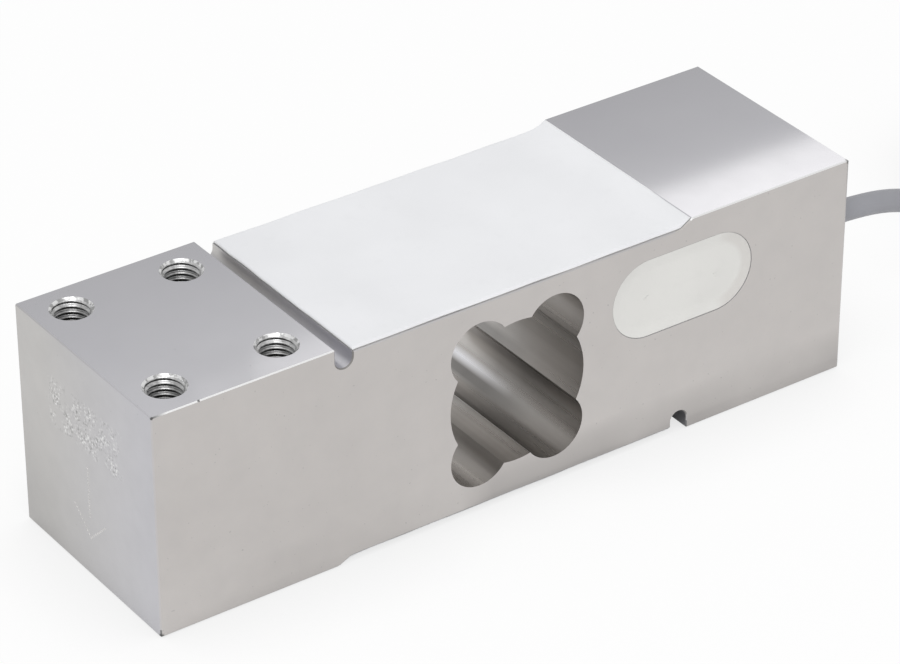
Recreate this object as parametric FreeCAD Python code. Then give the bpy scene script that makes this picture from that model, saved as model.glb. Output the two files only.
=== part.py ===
import FreeCAD, Part
import math
import os
from FreeCAD import Vector

# Single point load cell, in millimetres.
# X runs along the beam towards the cable, Y to the far side and Z up.
# The origin is in the middle of the beam's underside.

# Beam
BEAM_LENGTH = 168.0
BEAM_WIDTH = 50.0
BEAM_HEIGHT = 50.0
END_LENGTH = 41.0
GROOVE_WIDTH = 4.0
GROOVE_DEPTH = 4.75
TOP_RECESS = 1.75
BOTTOM_RECESS = 1.45
RAMP_RUN = 2.9
RAMP_FILLET = 2.0
EDGE_BREAK = 0.25
CABLE_END_BREAK = 0.7

# Clover opening: a round bore and four lobes
BORE_RADIUS = 16.25
LOBE_RADIUS = 7.05
LOBE_OFFSET = 9.1
LOBE_SKIN = 6.0

# Side pocket for the bridge board
POCKET_LENGTH = 35.4
POCKET_HEIGHT = 18.0
POCKET_DEPTH = 20.0
POCKET_DROP = 15.0
POCKET_FROM_END = 43.0

# Tapped holes, modelled at their thread's outer diameter
HOLE_RADIUS = 4.0
HOLE_DEPTH = 17.0
HOLE_MOUTH_RADIUS = 4.45
HOLE_POINT_ANGLE = 118.0
HOLE_SPACING_X = 25.0
HOLE_SPACING_Y = 34.0
HOLE_FROM_END = 8.0

# Wire passages from the recesses to the pocket
PASSAGE_RADIUS = 1.6
PASSAGE_FROM_POCKET_END = 7.0
PASSAGE_FROM_SIDE = 11.0

# Silicone covers
COVER_THICKNESS = 0.65
COVER_EDGE_RADIUS = 0.4
COVER_LIP = 0.35
MENISCUS_RUN = 6.5
POCKET_FILL_INSET = 0.3

# Strain gauges
CARRIER_THICKNESS = 0.1
CARRIER_MARGIN = 0.8
FOIL_THICKNESS = 0.05
STRAND_COUNT = 6
STRAND_LENGTH = 4.0
STRAND_WIDTH = 0.3
STRAND_PITCH = 0.5
TAB_LENGTH = 1.2
TAB_WIDTH = 0.95

# Solder terminal strips
STRIP_LENGTH = 4.0
PAD_COUNT = 4
PAD_PITCH = 3.0
PAD_WIDTH = 1.8
PAD_MARGIN = 0.6
LEAD_RADIUS = 0.1
LEAD_LANE_GAP = 0.8
LINK_RADIUS = 0.15
LINK_PITCH = 0.7

# Bridge board in the pocket
BOARD_THICKNESS = 1.0
BOARD_END_GAP = 4.2
BOARD_SIDE_GAP = 2.5
RESISTOR_LENGTH = 3.2
RESISTOR_WIDTH = 1.6
RESISTOR_HEIGHT = 0.6
RESISTOR_CAP = 0.5
LINK_LANDING = 4.0

# Cable inside the beam
CABLE_RADIUS = 2.5
CABLE_FROM_SIDE = 11.0
CABLE_BELOW_POCKET_MIDDLE = 4.8
CABLE_HOLE_CLEARANCE = 0.2
CABLE_INTO_POCKET = 11.7
FERRULE_WALL = 1.0
FERRULE_LENGTH = 4.0
FERRULE_SETBACK = 0.5
CORE_RADIUS = 0.5
CORE_OFFSET = 0.9
CORE_STRIP = 2.5
BUSH_RADIUS = 4.8
BUSH_DEPTH = 6.0
BUSH_LIP = 0.6

# Cable outside the beam
COIL_TURNS_ACROSS = 3
COIL_LAYERS = 4
COIL_MIDDLE_RADIUS = 25.0
COIL_BEVEL = 1.5
COIL_FROM_END = 92.0
COIL_SIDEWAYS = 6.0
COIL_END_ANGLE = 120.0
COIL_END_ROOM = 100.0
COIL_END_CLEARANCE = 0.4
STUB_ANGLE = 14.0
SLEEVE_WALL = 0.3
SLEEVE_ANGLE = 22.0
DRAIN_RADIUS = 0.3
CONDUCTOR_ANGLES = (0.0, 12.0, 28.0, 44.0)
CONDUCTOR_PITCH = 1.08
CONDUCTOR_SPREAD = (0.0, 0.7, 1.0, 1.0)
CONDUCTOR_DROP = (0.0, 0.2, 1.0, 1.0)
TIP_RADIUS = 0.3
WIRE_SIDES = 6
CORD_SIDES = 16
TIP_ANGLE = 8.0
TIE_THICKNESS = 0.8
TIE_ANGLE = 45.0
TIE_SPAN = 9.0
TIE_HEAD_DEPTH = 3.0
TIE_HEAD_HEIGHT = 5.0
TIE_HEAD_SPAN = 11.0

# Derived places
NEAR = -BEAM_WIDTH / 2
RIGHT = BEAM_LENGTH / 2
POCKET_X = RIGHT - POCKET_FROM_END
POCKET_Z = BEAM_HEIGHT - POCKET_DROP
POCKET_FLOOR = NEAR + POCKET_DEPTH
LOBE_RISE = BEAM_HEIGHT / 2 - LOBE_SKIN - LOBE_RADIUS
PASSAGE_X = POCKET_X - POCKET_LENGTH / 2 + PASSAGE_FROM_POCKET_END
PASSAGE_Y = NEAR + PASSAGE_FROM_SIDE
GAUGE_REACH = LOBE_OFFSET + STRAND_LENGTH / 2 + TAB_LENGTH + CARRIER_MARGIN
STRIP_X = (GAUGE_REACH + PASSAGE_X) / 2
CABLE_Y = NEAR + CABLE_FROM_SIDE
CABLE_Z = POCKET_Z - CABLE_BELOW_POCKET_MIDDLE
CABLE_HOLE_RADIUS = CABLE_RADIUS + CABLE_HOLE_CLEARANCE
CABLE_INNER_END = POCKET_X + POCKET_LENGTH / 2 - CABLE_INTO_POCKET
FOIL_LEVEL = CARRIER_THICKNESS + FOIL_THICKNESS
TOP = 1
BOTTOM = -1
SIDES = {"top": TOP, "bottom": BOTTOM}
ALONG_X = Vector(1, 0, 0)
ALONG_Y = Vector(0, 1, 0)
UP = Vector(0, 0, 1)

COIL_CENTRE = Vector(RIGHT + COIL_FROM_END, COIL_SIDEWAYS, 0)

# The cable's route from the beam's end to the coil, chosen by hand
CABLE_ROUTE = (
    Vector(RIGHT, CABLE_Y, CABLE_Z),
    Vector(RIGHT + 9.0, CABLE_Y, CABLE_Z),
    Vector(RIGHT + 23.0, -14.6, 28.4),
    Vector(RIGHT + 38.0, -16.2, 21.5),
    Vector(RIGHT + 54.0, -19.2, 10.8),
    Vector(RIGHT + 68.5, -22.6, 3.6),
    Vector(RIGHT + 80.0, -24.0, 2.5),
    Vector(RIGHT + 89.0, -22.4, 3.4),
)


def unit(vector):
    return vector * (1.0 / vector.Length)


def box(x0, x1, y0, y1, z0, z1):
    corner = Vector(min(x0, x1), min(y0, y1), min(z0, z1))
    return Part.makeBox(abs(x1 - x0), abs(y1 - y0), abs(z1 - z0), corner)


def rounded_wire(corners, closed):
    """Straight runs from corner to corner, each corner rounded by its own radius."""
    count = len(corners)
    bends = []
    for i, (point, radius) in enumerate(corners):
        if radius == 0:
            bends.append((point, None, point))
            continue
        back = unit(corners[i - 1][0] - point)
        ahead = unit(corners[(i + 1) % count][0] - point)
        half_turn = (math.pi - back.getAngle(ahead)) / 2
        reach = radius * math.tan(half_turn)
        rise = radius / math.cos(half_turn) - radius
        bends.append((point + back * reach, point + unit(back + ahead) * rise, point + ahead * reach))
    edges = []
    for i, (start, middle, end) in enumerate(bends):
        if middle is not None:
            edges.append(Part.Arc(start, middle, end).toShape())
        if closed or i + 1 < count:
            following = bends[(i + 1) % count][0]
            if end.distanceToPoint(following) > 1e-6:
                edges.append(Part.LineSegment(end, following).toShape())
    return Part.Wire(edges)


def prism(corners, start_y, end_y):
    """A solid with a rounded outline in the XZ plane, from one Y to another."""
    points = [(Vector(x, start_y, z), radius) for x, z, radius in corners]
    return Part.Face(rounded_wire(points, True)).extrude(Vector(0, end_y - start_y, 0))


def slot_corners(x, z, length, height):
    radius = height / 2
    left = x - length / 2
    right = x + length / 2
    return [
        (left, z - radius, radius),
        (right, z - radius, radius),
        (right, z + radius, radius),
        (left, z + radius, radius),
    ]


def ring_points(centre, heading, radius, sides):
    """The closed corners of a regular polygon across a heading."""
    across = unit(heading.cross(ALONG_Y if abs(heading.y) < 0.9 else UP))
    other = heading.cross(across)
    points = []
    for k in range(sides + 1):
        turn = 2 * math.pi * k / sides
        points.append(centre + (across * math.cos(turn) + other * math.sin(turn)) * radius)
    return points


def many_sided_bar(path, radius):
    """A bar of many flat sides along a smooth path, in place of a round one."""
    start = path.OrderedEdges[0]
    heading = start.tangentAt(start.FirstParameter)
    section = Part.makePolygon(ring_points(path.OrderedVertexes[0].Point, heading, radius, CORD_SIDES))
    return path.makePipeShell([section], True, False, 0)


def fine_wire(points, radius):
    """A thin six-sided wire along straight runs with mitred corners."""
    heading = unit(points[1] - points[0])
    section = Part.makePolygon(ring_points(points[0], heading, radius, WIRE_SIDES))
    return Part.makePolygon(points).makePipeShell([section], True, False, 1)


def level(side, height):
    """The Z at a height above the recess floor of the top or bottom side."""
    if side == TOP:
        return BEAM_HEIGHT - TOP_RECESS + height
    return BOTTOM_RECESS - height


def recess_corners(side):
    """The recess from its groove to the top of its ramp, as the beam and the cover share it."""
    edge = -side * (RIGHT - END_LENGTH - GROOVE_WIDTH)
    ramp_top = side * (RIGHT - END_LENGTH)
    outside = BEAM_HEIGHT if side == TOP else 0.0
    return [
        (edge, level(side, 0), 0.0),
        (ramp_top - side * RAMP_RUN, level(side, 0), RAMP_FILLET),
        (ramp_top, outside, 0.0),
    ]


def beam_corners():
    """The beam's outline from the side, one half and then the same turned by half a turn."""
    corners = []
    for side in (TOP, BOTTOM):
        outside = BEAM_HEIGHT if side == TOP else 0.0
        groove_floor = outside - side * GROOVE_DEPTH
        groove_start = -side * (RIGHT - END_LENGTH)
        groove_end = groove_start + side * GROOVE_WIDTH
        corners += [
            (-side * RIGHT, outside, 0.0),
            (groove_start, outside, 0.0),
            (groove_start, groove_floor, GROOVE_WIDTH / 2),
            (groove_end, groove_floor, GROOVE_WIDTH / 2),
        ]
        corners += recess_corners(side)
        corners.append((side * RIGHT, outside, 0.0))
    return corners


def is_cable_end_edge(edge):
    low = edge.BoundBox
    return abs(low.XMin - RIGHT) < 1e-6


def is_broken_edge(edge):
    """Whether an edge of the plain beam gets a small chamfer."""
    low = edge.BoundBox
    if low.YLength < 1e-6:
        return abs(abs(low.YMin) - BEAM_WIDTH / 2) < 1e-6
    at_end = abs(abs(low.XMin) - RIGHT) < 1e-6
    at_groove = abs(abs(low.XMin) - (RIGHT - END_LENGTH)) < 1e-6
    outside = min(abs(low.ZMin), abs(low.ZMin - BEAM_HEIGHT)) < 1e-6
    on_groove_side = (low.XMin < 0) == (low.ZMin > BEAM_HEIGHT / 2)
    return outside and (at_end or (at_groove and on_groove_side))


def clover():
    height = BEAM_HEIGHT / 2
    reach = BEAM_WIDTH + 2
    shape = Part.makeCylinder(BORE_RADIUS, reach, Vector(0, NEAR - 1, height), ALONG_Y)
    lobes = []
    for x in (-LOBE_OFFSET, LOBE_OFFSET):
        for z in (height - LOBE_RISE, height + LOBE_RISE):
            lobes.append(Part.makeCylinder(LOBE_RADIUS, reach, Vector(x, NEAR - 1, z), ALONG_Y))
    return shape.fuse(lobes)


def tapped_hole(x, y, side):
    """A blind hole with a chamfered mouth and a drill point, cut from the top or the bottom."""
    face_z = BEAM_HEIGHT if side == TOP else 0.0
    mouth = HOLE_MOUTH_RADIUS - HOLE_RADIUS
    point = HOLE_RADIUS / math.tan(math.radians(HOLE_POINT_ANGLE / 2))
    profile = [
        (0, 0),
        (HOLE_MOUTH_RADIUS, 0),
        (HOLE_RADIUS, mouth),
        (HOLE_RADIUS, HOLE_DEPTH),
        (0, HOLE_DEPTH + point),
        (0, 0),
    ]
    wire = Part.makePolygon([Vector(x + r, y, face_z - side * d) for r, d in profile])
    return Part.Face(wire).revolve(Vector(x, y, 0), UP, 360)


def tapped_holes():
    """Four holes in the load end's top and four in the base end's underside."""
    holes = []
    for side in (TOP, BOTTOM):
        for step in (0, 1):
            x = -side * (RIGHT - HOLE_FROM_END - step * HOLE_SPACING_X)
            for y in (-HOLE_SPACING_Y / 2, HOLE_SPACING_Y / 2):
                holes.append(tapped_hole(x, y, side))
    return holes


def pocket():
    corners = slot_corners(POCKET_X, POCKET_Z, POCKET_LENGTH, POCKET_HEIGHT)
    return prism(corners, NEAR - 1, POCKET_FLOOR)


def passage(side):
    """A drilled hole from a recess floor to the middle of the pocket's height."""
    start = Vector(PASSAGE_X, PASSAGE_Y, level(side, 0))
    return Part.makeCylinder(PASSAGE_RADIUS, abs(level(side, 0) - POCKET_Z), start, UP * -side)


def cable_hole():
    inner = Vector(POCKET_X, CABLE_Y, CABLE_Z)
    bore = Part.makeCylinder(CABLE_HOLE_RADIUS, RIGHT - POCKET_X, inner, ALONG_X)
    seat = Vector(RIGHT - BUSH_DEPTH, CABLE_Y, CABLE_Z)
    return bore.fuse(Part.makeCylinder(BUSH_RADIUS, BUSH_DEPTH, seat, ALONG_X))


def beam():
    block = prism(beam_corners(), NEAR, -NEAR)
    block = block.makeChamfer(CABLE_END_BREAK, [e for e in block.Edges if is_cable_end_edge(e)])
    block = block.makeChamfer(EDGE_BREAK, [e for e in block.Edges if is_broken_edge(e)])
    cuts = [clover(), pocket(), passage(TOP), passage(BOTTOM), cable_hole()]
    return block.cut(cuts + tapped_holes())


def cover(side):
    """Silicone over one recess, with rounded sides and a soft rise up the ramp."""
    foot = recess_corners(side)
    edge, ramp_top = foot[0][0], foot[2][0]
    outside = foot[2][1]
    surface = level(side, COVER_THICKNESS)
    lip = Vector(ramp_top - side * COVER_LIP, 0, outside)
    rise = Vector(ramp_top - side * MENISCUS_RUN, 0, surface)
    middle = (lip + rise) * 0.5 - UP * side * (abs(outside - surface) / 4)
    shoulder = Vector(edge, 0, surface)
    outline = rounded_wire(
        [(Vector(x, 0, z), radius) for x, z, radius in foot] + [(lip, 0.0)], False
    )
    back = rounded_wire(
        [
            (rise, 0.0),
            (shoulder, COVER_EDGE_RADIUS),
            (Vector(edge, 0, level(side, 0)), 0.0),
        ],
        False,
    )
    edges = outline.Edges + [Part.Arc(lip, middle, rise).toShape()] + back.Edges
    half_width = BEAM_WIDTH / 2 - EDGE_BREAK
    face = Part.Face(Part.Wire(edges))
    face.translate(Vector(0, -half_width, 0))
    slab = face.extrude(Vector(0, 2 * half_width, 0))
    sides = []
    for e in slab.Edges:
        bounds = e.BoundBox
        flat = bounds.YLength < 1e-6 and bounds.ZLength < 1e-6
        if flat and abs(bounds.ZMin - surface) < 1e-6:
            sides.append(e)
    return slab.makeChamfer(COVER_EDGE_RADIUS / 2, sides)


def gauge_carrier(x, side):
    half_width = STRAND_PITCH * (STRAND_COUNT - 1) / 2 + TAB_WIDTH / 2 + CARRIER_MARGIN
    left = x - STRAND_LENGTH / 2 - CARRIER_MARGIN
    right = x + STRAND_LENGTH / 2 + TAB_LENGTH + CARRIER_MARGIN
    low, high = level(side, 0), level(side, CARRIER_THICKNESS)
    return box(left, right, -half_width, half_width, low, high)


def gauge_grid(x, side):
    """A foil strip folded to and fro, with a solder tab at each end."""
    low, high = level(side, CARRIER_THICKNESS), level(side, FOIL_LEVEL)
    half = STRAND_LENGTH / 2
    first = -STRAND_PITCH * (STRAND_COUNT - 1) / 2
    pieces = []
    for k in range(STRAND_COUNT):
        y = first + k * STRAND_PITCH
        pieces.append(box(x - half, x + half, y - STRAND_WIDTH / 2, y + STRAND_WIDTH / 2, low, high))
        if k + 1 < STRAND_COUNT:
            end = x - half if k % 2 == 0 else x + half - STRAND_WIDTH
            pieces.append(box(end, end + STRAND_WIDTH, y, y + STRAND_PITCH, low, high))
    for y in (first, -first):
        pieces.append(box(x + half, x + half + TAB_LENGTH, y - TAB_WIDTH / 2, y + TAB_WIDTH / 2, low, high))
    return pieces[0].fuse(pieces[1:]).removeSplitter()


def pad_y(index):
    return (index - (PAD_COUNT - 1) / 2) * PAD_PITCH


def terminal_strip(side):
    half_width = pad_y(PAD_COUNT - 1) + PAD_WIDTH / 2 + PAD_MARGIN
    low, high = level(side, 0), level(side, CARRIER_THICKNESS)
    return box(STRIP_X - STRIP_LENGTH / 2, STRIP_X + STRIP_LENGTH / 2, -half_width, half_width, low, high)


def terminal_pads(side):
    half = STRIP_LENGTH / 2 - PAD_MARGIN
    low, high = level(side, CARRIER_THICKNESS), level(side, FOIL_LEVEL)
    pads = []
    for i in range(PAD_COUNT):
        y = pad_y(i)
        pads.append(box(STRIP_X - half, STRIP_X + half, y - PAD_WIDTH / 2, y + PAD_WIDTH / 2, low, high))
    return Part.makeCompound(pads)


def gauge_leads(side):
    """Two fine leads from each gauge of one side to the terminal strip."""
    z = level(side, FOIL_LEVEL + LEAD_RADIUS)
    tab_y = STRAND_PITCH * (STRAND_COUNT - 1) / 2
    lane = tab_y + TAB_WIDTH / 2 + CARRIER_MARGIN + LEAD_LANE_GAP
    tab_reach = STRAND_LENGTH / 2 + TAB_LENGTH / 2
    pad_x = STRIP_X - STRIP_LENGTH / 4
    start_left, start_right = -LOBE_OFFSET + tab_reach, LOBE_OFFSET + tab_reach
    clear_left = start_left + TAB_LENGTH + CARRIER_MARGIN
    clear_right = start_right + TAB_LENGTH + CARRIER_MARGIN
    leads = []
    for sign in (-1, 1):
        outer, inner = sign * pad_y(PAD_COUNT - 1), sign * pad_y(PAD_COUNT // 2)
        far = [
            Vector(start_left, sign * tab_y, z),
            Vector(clear_left, sign * tab_y, z),
            Vector(clear_left + LEAD_LANE_GAP, sign * lane, z),
            Vector(pad_x - STRIP_LENGTH / 2, sign * lane, z),
            Vector(pad_x, outer, z),
        ]
        near = [
            Vector(start_right, sign * tab_y, z),
            Vector(clear_right, sign * tab_y, z),
            Vector(pad_x, inner, z),
        ]
        leads += [fine_wire(far, LEAD_RADIUS), fine_wire(near, LEAD_RADIUS)]
    return Part.makeCompound(leads)


def link_wires(side):
    """Four wires from the terminal strip, through the passage, to the bridge board."""
    z = level(side, FOIL_LEVEL + LINK_RADIUS)
    landing = POCKET_Z + side * LINK_LANDING
    board_face = POCKET_FLOOR - BOARD_THICKNESS
    wires = []
    for i in range(PAD_COUNT):
        x = PASSAGE_X + (i - (PAD_COUNT - 1) / 2) * LINK_PITCH
        points = [
            Vector(STRIP_X + STRIP_LENGTH / 8, pad_y(i), z),
            Vector(x, pad_y(i), z),
            Vector(x, PASSAGE_Y, z),
            Vector(x, PASSAGE_Y, landing),
            Vector(x, board_face, landing),
        ]
        wires.append(fine_wire(points, LINK_RADIUS))
    return Part.makeCompound(wires)


def bridge_board():
    half_length = POCKET_LENGTH / 2 - BOARD_END_GAP
    half_height = POCKET_HEIGHT / 2 - BOARD_SIDE_GAP
    front = POCKET_FLOOR - BOARD_THICKNESS
    return box(
        POCKET_X - half_length,
        POCKET_X + half_length,
        front,
        POCKET_FLOOR,
        POCKET_Z - half_height,
        POCKET_Z + half_height,
    )


def resistor(x, z):
    """A chip resistor on the board's face, with raised end caps."""
    face = POCKET_FLOOR - BOARD_THICKNESS
    half = RESISTOR_LENGTH / 2
    low, high = z - RESISTOR_WIDTH / 2, z + RESISTOR_WIDTH / 2
    inset = RESISTOR_CAP / 5
    chip = box(x - half, x + half, face - RESISTOR_HEIGHT, face, low + inset, high - inset)
    caps = []
    for end in (x - half, x + half - RESISTOR_CAP):
        caps.append(box(end, end + RESISTOR_CAP, face - RESISTOR_HEIGHT - inset, face, low, high))
    return chip.fuse(caps).removeSplitter()


def cable_entry():
    """The jacketed cable inside the beam, up to its end face."""
    start = Vector(CABLE_INNER_END, CABLE_Y, CABLE_Z)
    return Part.makeCylinder(CABLE_RADIUS, RIGHT - CABLE_INNER_END, start, ALONG_X)


def cable_ferrule():
    start = Vector(CABLE_INNER_END + FERRULE_SETBACK, CABLE_Y, CABLE_Z)
    outer = Part.makeCylinder(CABLE_RADIUS + FERRULE_WALL, FERRULE_LENGTH, start, ALONG_X)
    return outer.cut(Part.makeCylinder(CABLE_RADIUS, FERRULE_LENGTH, start, ALONG_X))


def inner_cores():
    """Four insulated cores from the end of the jacket to the bridge board."""
    board_face = POCKET_FLOOR - BOARD_THICKNESS
    cores = []
    for dy in (-CORE_OFFSET, CORE_OFFSET):
        bend = CABLE_INNER_END - CORE_STRIP * (1 if dy > 0 else 2)
        for dz in (-CORE_OFFSET, CORE_OFFSET):
            y, z = CABLE_Y + dy, CABLE_Z + dz
            points = [Vector(CABLE_INNER_END, y, z), Vector(bend, y, z), Vector(bend, board_face, z)]
            cores.append(fine_wire(points, CORE_RADIUS))
    return Part.makeCompound(cores)


def cable_bush():
    """A rubber bush pressed into the end face and flush with it, with a bevelled mouth."""
    profile = [
        (-BUSH_DEPTH, CABLE_RADIUS),
        (-BUSH_DEPTH, BUSH_RADIUS),
        (0, BUSH_RADIUS),
        (0, CABLE_RADIUS + BUSH_LIP),
        (-BUSH_LIP, CABLE_RADIUS),
        (-BUSH_DEPTH, CABLE_RADIUS),
    ]
    wire = Part.makePolygon([Vector(RIGHT + x, CABLE_Y, CABLE_Z + r) for x, r in profile])
    return Part.Face(wire).revolve(Vector(RIGHT, CABLE_Y, CABLE_Z), ALONG_X, 360)


def pocket_potting(embedded):
    """Silicone in the pocket and in both passages, round everything in it."""
    corners = slot_corners(POCKET_X, POCKET_Z, POCKET_LENGTH, POCKET_HEIGHT)
    fill = prism(corners, NEAR + POCKET_FILL_INSET, POCKET_FLOOR)
    fill = fill.fuse([passage(TOP), passage(BOTTOM)]).removeSplitter()
    return fill.cut(embedded)


def arc_corners(points):
    """The cable's route points, each with the largest radius that its two runs allow."""
    corners = [(points[0], 0.0)]
    for before, point, after in zip(points, points[1:], points[2:]):
        back, ahead = before - point, after - point
        half_turn = (math.pi - back.getAngle(ahead)) / 2
        corners.append((point, 0.45 * min(back.Length, ahead.Length) / math.tan(half_turn)))
    return corners + [(points[-1], 0.0)]


def cable_lead():
    corners = arc_corners(CABLE_ROUTE)
    path = rounded_wire(corners, False)
    lead = many_sided_bar(path, CABLE_RADIUS)
    expected = CORD_SIDES / 2 * math.sin(2 * math.pi / CORD_SIDES) * CABLE_RADIUS**2 * path.Length
    print("cable radii", [round(radius, 1) for _, radius in corners if radius])
    print("cable lead length", round(path.Length, 1), "volume share", round(lead.Volume / expected, 4))
    return lead


def turned(profile, start_angle, span):
    """A profile of (radius, height) points turned about the coil's axis."""
    wire = Part.makePolygon([COIL_CENTRE + Vector(r, 0, z) for r, z in profile])
    return turned_face(Part.Face(wire), start_angle, span)


def turned_face(face, start_angle, span):
    solid = face.revolve(COIL_CENTRE, UP, span)
    solid.rotate(COIL_CENTRE, UP, start_angle)
    return solid


def turned_bar(radius, height, section_radius, start_angle, span):
    """Part of a ring of many-sided section about the coil's axis."""
    centre = COIL_CENTRE + Vector(radius, 0, height)
    section = Part.makePolygon(ring_points(centre, ALONG_Y, section_radius, CORD_SIDES))
    return turned_face(Part.Face(section), start_angle, span)


def coil_bounds():
    """The coil's inner and outer radius and its height."""
    half = COIL_TURNS_ACROSS * CABLE_RADIUS
    return COIL_MIDDLE_RADIUS - half, COIL_MIDDLE_RADIUS + half, COIL_LAYERS * 2 * CABLE_RADIUS


def last_turn():
    """Radius and height of the outer turn of the top layer, where the cable ends."""
    _, outer, height = coil_bounds()
    return outer - CABLE_RADIUS, height - CABLE_RADIUS


def end_room():
    """The space in the top of the coil that the cable's stripped end lies in."""
    radius, height = last_turn()
    reach = CABLE_RADIUS + COIL_END_CLEARANCE
    inner, floor = radius - reach, height - reach
    outer, top = radius + 2 * reach, height + 2 * reach
    profile = [(inner, floor), (outer, floor), (outer, top), (inner, top), (inner, floor)]
    return turned(profile, COIL_END_ANGLE, COIL_END_ROOM)


def cable_coil(tie):
    """The outer shape of the wound cable, with the stub of its last turn."""
    inner, outer, height = coil_bounds()
    corners = ((inner, 0, 1, 1), (outer, 0, -1, 1), (outer, height, -1, -1), (inner, height, 1, -1))
    profile = []
    for r, z, inward, upward in corners:
        corner = [(r, z + upward * COIL_BEVEL), (r + inward * COIL_BEVEL, z)]
        profile += corner if inward == upward else corner[::-1]
    ring = turned(profile + profile[:1], 0, 360)
    radius, level_z = last_turn()
    stub = turned_bar(radius, level_z, CABLE_RADIUS, COIL_END_ANGLE, STUB_ANGLE)
    return ring.cut([end_room(), tie]).fuse(stub)


def coil_tie():
    """A nylon strap round the turns, with its square head on the outside."""
    inner, outer, height = coil_bounds()
    thick = TIE_THICKNESS
    loop = [
        (inner - thick, 0),
        (outer + thick, 0),
        (outer + thick, height + thick),
        (inner - thick, height + thick),
        (inner - thick, 0),
    ]
    window = [(inner, thick), (outer, thick), (outer, height), (inner, height), (inner, thick)]
    strap = turned(loop, TIE_ANGLE, TIE_SPAN).cut(turned(window, TIE_ANGLE, TIE_SPAN))
    low = height / 2 - TIE_HEAD_HEIGHT / 2
    face = outer + thick
    head = [
        (face, low),
        (face + TIE_HEAD_DEPTH, low),
        (face + TIE_HEAD_DEPTH, low + TIE_HEAD_HEIGHT),
        (face, low + TIE_HEAD_HEIGHT),
        (face, low),
    ]
    start = TIE_ANGLE + (TIE_SPAN - TIE_HEAD_SPAN) / 2
    return strap.fuse(turned(head, start, TIE_HEAD_SPAN)).removeSplitter()


def cable_sleeve():
    """Heat-shrink sleeve over the end of the jacket."""
    radius, height = last_turn()
    outer = turned_bar(radius, height, CABLE_RADIUS + SLEEVE_WALL, COIL_END_ANGLE, SLEEVE_ANGLE)
    return outer.cut(turned_bar(radius, height, CABLE_RADIUS, COIL_END_ANGLE, STUB_ANGLE))


def conductor_points(start, end, wire_radius):
    """Where one conductor runs, from its place in the cable to its place on the turn below."""
    radius, height = last_turn()
    rest = height - CABLE_RADIUS - COIL_END_CLEARANCE + wire_radius
    first = COIL_END_ANGLE + STUB_ANGLE
    points = []
    for spread, drop, angle in zip(CONDUCTOR_SPREAD, CONDUCTOR_DROP, CONDUCTOR_ANGLES):
        turn = math.radians(first + angle)
        r = radius + start[0] + (end - start[0]) * spread
        z = height + start[1] + (rest - height - start[1]) * drop
        points.append(COIL_CENTRE + Vector(r * math.cos(turn), r * math.sin(turn), z))
    return points


def conductor(start, end, wire_radius):
    return fine_wire(conductor_points(start, end, wire_radius), wire_radius)


def tinned_tip(start, end, wire_radius):
    """The bare end of one conductor, in line with its insulation."""
    points = conductor_points(start, end, wire_radius)
    heading = unit(points[-1] - points[-2])
    length = math.radians(TIP_ANGLE) * last_turn()[0]
    return fine_wire([points[-1], points[-1] + heading * length], TIP_RADIUS)


def conductors():
    """Each insulated conductor's place in the cable's section and at its own end."""
    offset = CORE_OFFSET
    return {
        "conductor_red": ((-offset, offset), -2 * CONDUCTOR_PITCH),
        "conductor_green": ((-offset, -offset), -CONDUCTOR_PITCH),
        "conductor_white": ((offset, -offset), CONDUCTOR_PITCH),
        "conductor_black": ((offset, offset), 2 * CONDUCTOR_PITCH),
    }


def build():
    nodes = {"body_block": beam()}
    in_pocket = {
        "bridge_board": bridge_board(),
        "span_resistor": resistor(POCKET_X - 4.5, POCKET_Z + 1.5),
        "zero_resistor": resistor(POCKET_X - 4.5, POCKET_Z - 1.5),
        "balance_resistor": resistor(POCKET_X + 5.0, POCKET_Z + 3.0),
        "cable_ferrule": cable_ferrule(),
        "inner_cores": inner_cores(),
        "cable_entry": cable_entry(),
    }
    links = {name: link_wires(side) for name, side in SIDES.items()}
    for name, side in SIDES.items():
        pieces = {
            f"terminal_strip_{name}": terminal_strip(side),
            f"terminal_pads_{name}": terminal_pads(side),
            f"gauge_leads_{name}": gauge_leads(side),
            f"link_wires_{name}": links[name],
        }
        for end, x in (("load_end", -LOBE_OFFSET), ("base_end", LOBE_OFFSET)):
            pieces[f"gauge_carrier_{name}_{end}"] = gauge_carrier(x, side)
            pieces[f"gauge_grid_{name}_{end}"] = gauge_grid(x, side)
        nodes[f"{name}_potting"] = cover(side).cut(list(pieces.values()))
        nodes.update(pieces)
    nodes["pocket_potting"] = pocket_potting(list(in_pocket.values()) + list(links.values()))
    nodes.update(in_pocket)
    tie = coil_tie()
    nodes["cable_bush"] = cable_bush()
    nodes["cable_coil"] = cable_coil(tie)
    nodes["cable_lead"] = cable_lead().cut(nodes["cable_coil"])
    nodes["coil_tie"] = tie
    coil = nodes["cable_coil"]
    wires = {"shield_drain": conductor((0.0, 0.0), 0.0, DRAIN_RADIUS).cut(coil)}
    tips = []
    for name, (start, end) in conductors().items():
        wires[name] = conductor(start, end, CORE_RADIUS).cut(coil)
        tips.append(tinned_tip(start, end, CORE_RADIUS))
    nodes["cable_sleeve"] = cable_sleeve().cut(list(wires.values()))
    nodes.update(wires)
    nodes["tinned_tips"] = Part.makeCompound(tips)
    return nodes


def main():
    os.makedirs("parts", exist_ok=True)
    for name, shape in build().items():
        shape.exportStep(f"parts/{name}.step")
        print(name, len(shape.Solids), round(shape.Volume, 2), shape.isValid())


main()
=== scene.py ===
import math

import bmesh
import bpy
from mathutils import Euler, Matrix, Vector, noise


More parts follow.
